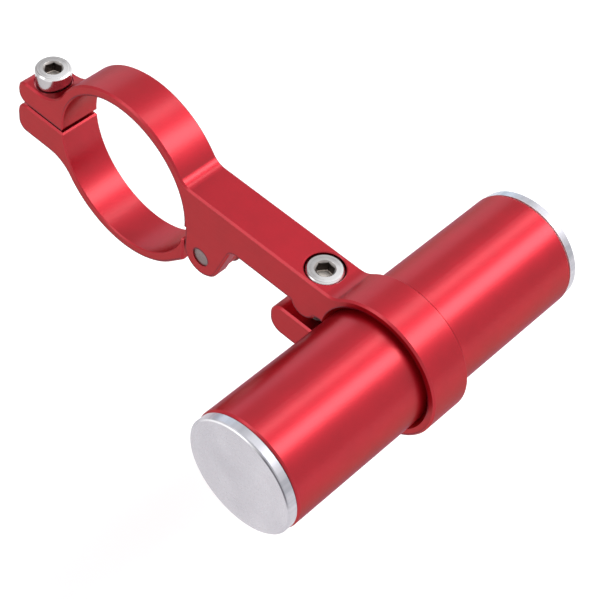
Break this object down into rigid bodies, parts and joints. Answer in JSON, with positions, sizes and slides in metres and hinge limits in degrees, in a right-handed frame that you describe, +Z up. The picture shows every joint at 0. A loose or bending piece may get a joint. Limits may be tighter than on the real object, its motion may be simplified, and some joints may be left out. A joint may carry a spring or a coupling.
{
  "type": "handlebar extender",
  "caption": "Hinged clamp for a bicycle handlebar with a flat arm and a split ring that holds a short capped tube for lights and other accessories.",
  "frame": {"origin": "centre of the handlebar clamp's bore, in the middle plane of the arm", "axes": "+X along the arm from the clamp to the tube, +Y along the handlebar and the tube, +Z up towards the screw heads"},
  "size_m": [0.102, 0.072, 0.0358],
  "materials": {
    "anodised_red": "satin red anodised",
    "anodised_red_tube": "satin red anodised, drawn and turned",
    "cap_aluminium": "turned, clear anodised",
    "screw_steel": "polished stainless",
    "pin_steel": "dull"
  },
  "bodies": {
    "arm": {"arm": "anodised_red", "hinge_pin": "pin_steel"},
    "jaw": {"clamp_jaw": "anodised_red"},
    "clamp_screw": {"clamp_screw": "screw_steel"},
    "ring_screw": {"ring_screw": "screw_steel"},
    "tube": {"extension_tube": "anodised_red_tube", "end_cap_right": "cap_aluminium", "end_cap_left": "cap_aluminium"}
  },
  "joints": [
    {"name": "jaw_hinge", "type": "hinge", "parent": "arm", "child": "jaw", "pos_m": [0.0203, 0, -0.0051], "axis": [0, -1, 0], "range_deg": [0, 120]},
    {"name": "clamp_screw_slide", "type": "slide", "parent": "arm", "child": "clamp_screw", "axis": [0, 0, 1], "range_m": [0, 0.0111]},
    {"name": "ring_screw_turn", "type": "hinge", "parent": "arm", "child": "ring_screw", "pos_m": [0.0447, 0, 0.00505], "axis": [0, 0, 1], "range_deg": [0, 360]},
    {"name": "tube_slide", "type": "slide", "parent": "arm", "child": "tube", "axis": [0, 1, 0], "range_m": [-0.027, 0.026]}
  ],
  "couplings": [
    {"joint": "clamp_screw_slide", "follows": "jaw_hinge", "m_per_rad": 0.00525}
  ]
}
